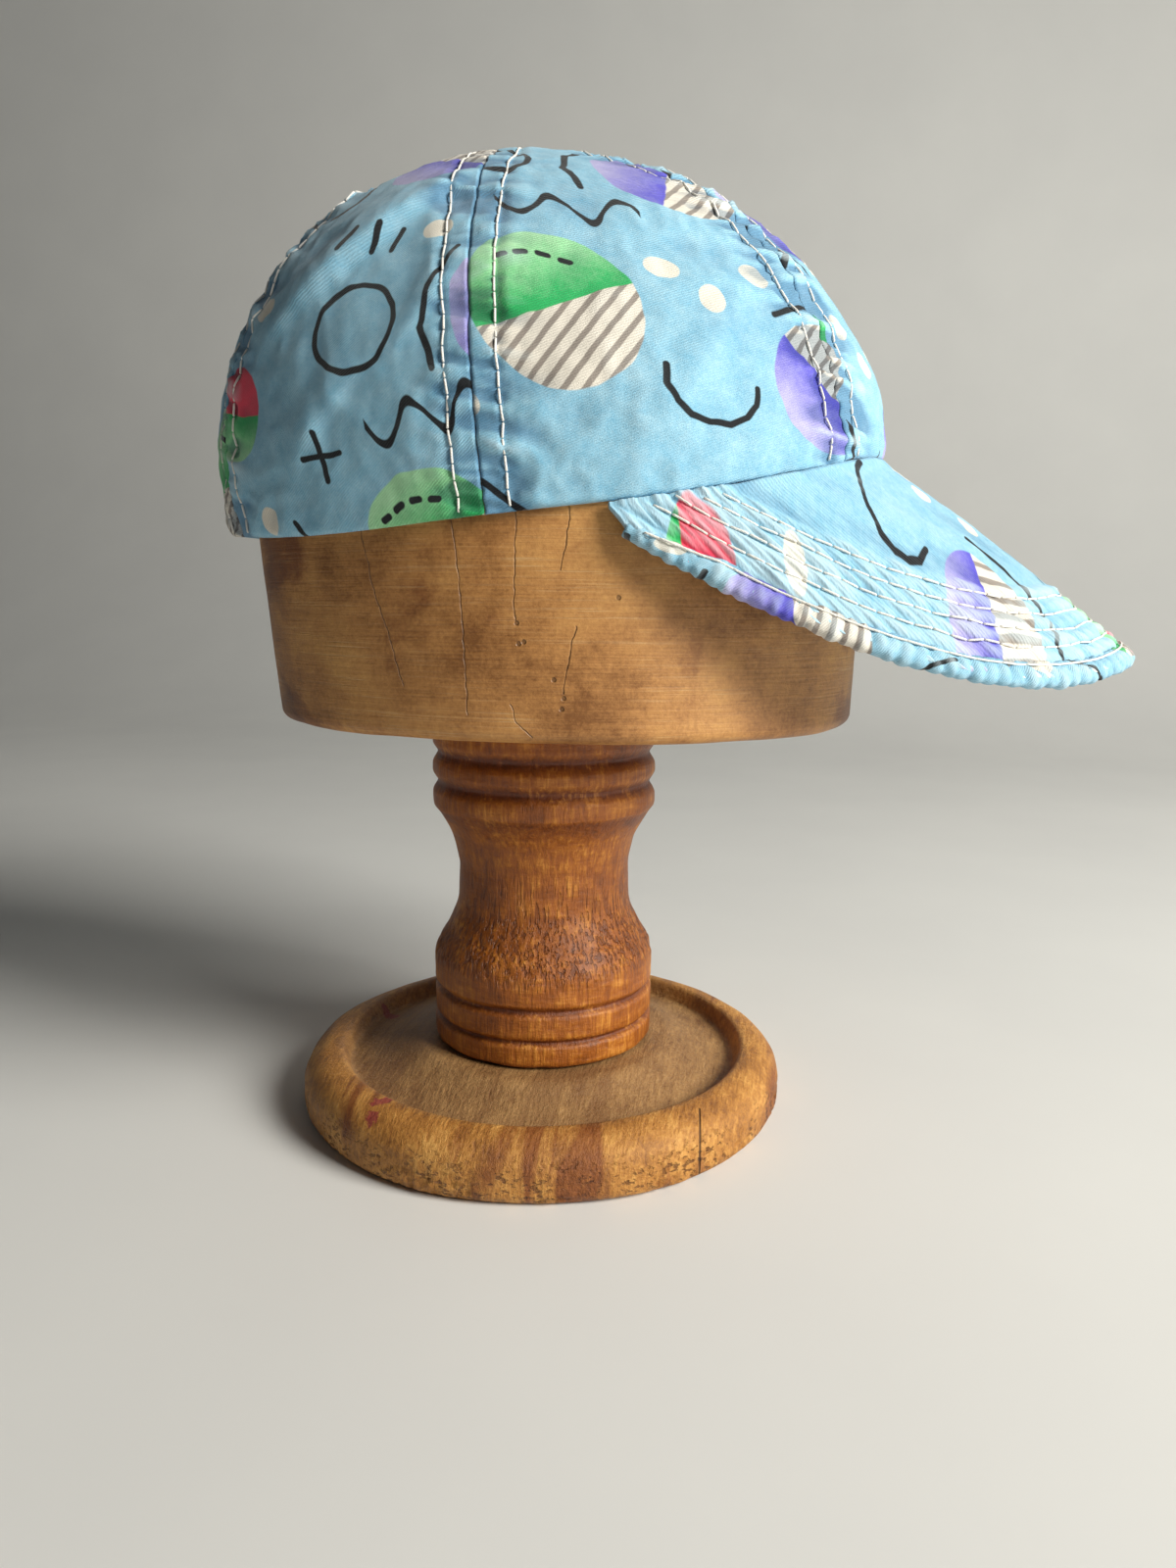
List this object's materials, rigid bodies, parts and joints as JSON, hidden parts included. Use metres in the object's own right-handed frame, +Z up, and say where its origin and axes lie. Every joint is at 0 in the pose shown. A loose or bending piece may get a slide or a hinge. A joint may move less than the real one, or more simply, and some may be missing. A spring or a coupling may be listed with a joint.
{
  "type": "surf cap on a wooden hat block stand",
  "caption": "Soft cotton panel cap with a stitched, bound bill, on an oval wooden hat block with a turned post and a round dished base.",
  "frame": {"origin": "centre of the base's underside, on the post's axis", "axes": "+Z up, +X towards the bill, +Y towards the wearer's left"},
  "size_m": [0.2782, 0.1648, 0.2939],
  "materials": {
    "print_cotton": null,
    "binding_cotton": "the same cotton folded as a puckered edge binding",
    "block_wood": "pale close-grained wood, worn, stained and finely cracked",
    "post_wood": "orange-brown varnished turned wood, worn on the beads",
    "base_wood": "worn brown wood with a greyish dish and a few red paint specks"
  },
  "bodies": {
    "root": {"panel_front": "print_cotton", "panel_front_right": "print_cotton", "panel_back_right": "print_cotton", "panel_back": "print_cotton", "panel_back_left": "print_cotton", "panel_front_left": "print_cotton", "bill": "print_cotton", "bill_binding": "binding_cotton", "stand_block": "block_wood", "stand_post": "post_wood", "stand_base": "base_wood"}
  },
  "joints": []
}
